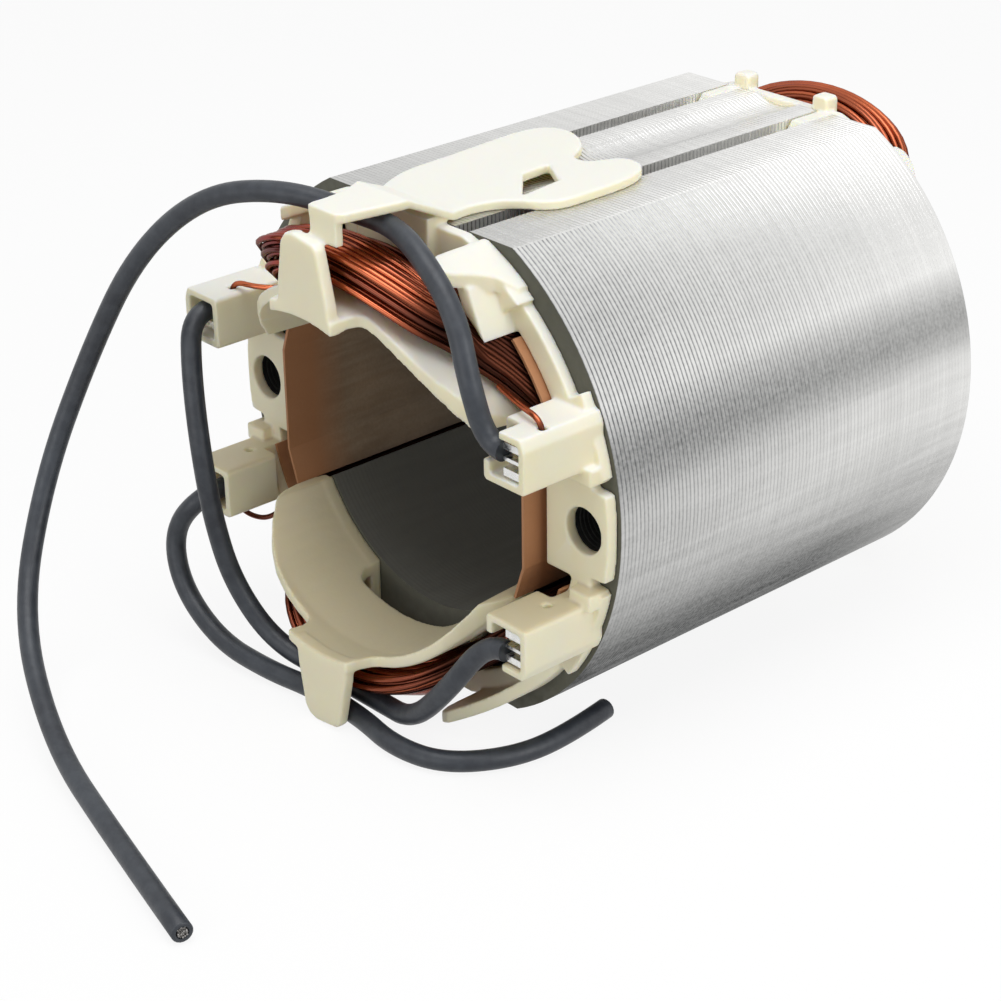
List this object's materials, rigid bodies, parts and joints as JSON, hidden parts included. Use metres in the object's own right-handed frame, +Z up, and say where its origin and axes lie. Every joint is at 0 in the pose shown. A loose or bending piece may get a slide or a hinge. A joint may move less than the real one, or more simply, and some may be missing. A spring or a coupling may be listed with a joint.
{
  "type": "field stator",
  "caption": "Universal-motor field stator: laminated steel core with a round bore, two wound field coils, ivory moulded end frames with terminal towers, and flexible leads",
  "frame": {"origin": "on the motor axis, at the front end face of the laminated core", "axes": "+Y along the motor axis from the lead end to the back, +X to the right seen from the lead end, +Z up"},
  "size_m": [0.0599, 0.1057, 0.0542],
  "materials": {
    "lamination_steel": "stacked steel laminations with fine edge lines, slightly oily",
    "ivory_plastic": "moulded ivory plastic, satin, a little translucent",
    "enamelled_copper": "red-brown enamelled copper wire, glossy",
    "slot_paper": "brown insulation paper, faintly fibrous",
    "tinned_brass": "tin-plated sheet, dull bright",
    "lead_rubber": "blue-black silicone sleeve, matte",
    "bare_conductor": "tinned strand ends"
  },
  "bodies": {
    "root": {"core_stack": "lamination_steel", "front_end_frame": "ivory_plastic", "rear_end_frame": "ivory_plastic", "top_coil": "enamelled_copper", "bottom_coil": "enamelled_copper", "slot_closure_right": "slot_paper", "slot_closure_left": "slot_paper", "slot_liner_upper_right": "slot_paper", "slot_liner_upper_left": "slot_paper", "slot_liner_lower_right": "slot_paper", "slot_liner_lower_left": "slot_paper", "terminal_upper_right": "tinned_brass", "terminal_lower_right": "tinned_brass", "terminal_upper_left": "tinned_brass", "terminal_lower_left": "tinned_brass", "lead_out_upper_right": "enamelled_copper", "lead_out_upper_left": "enamelled_copper", "lead_out_lower_right": "enamelled_copper", "lead_out_lower_left": "enamelled_copper", "long_lead": "lead_rubber", "jumper_lead": "lead_rubber", "short_lead": "lead_rubber", "long_lead_conductor": "bare_conductor", "short_lead_conductor": "bare_conductor"}
  },
  "joints": []
}
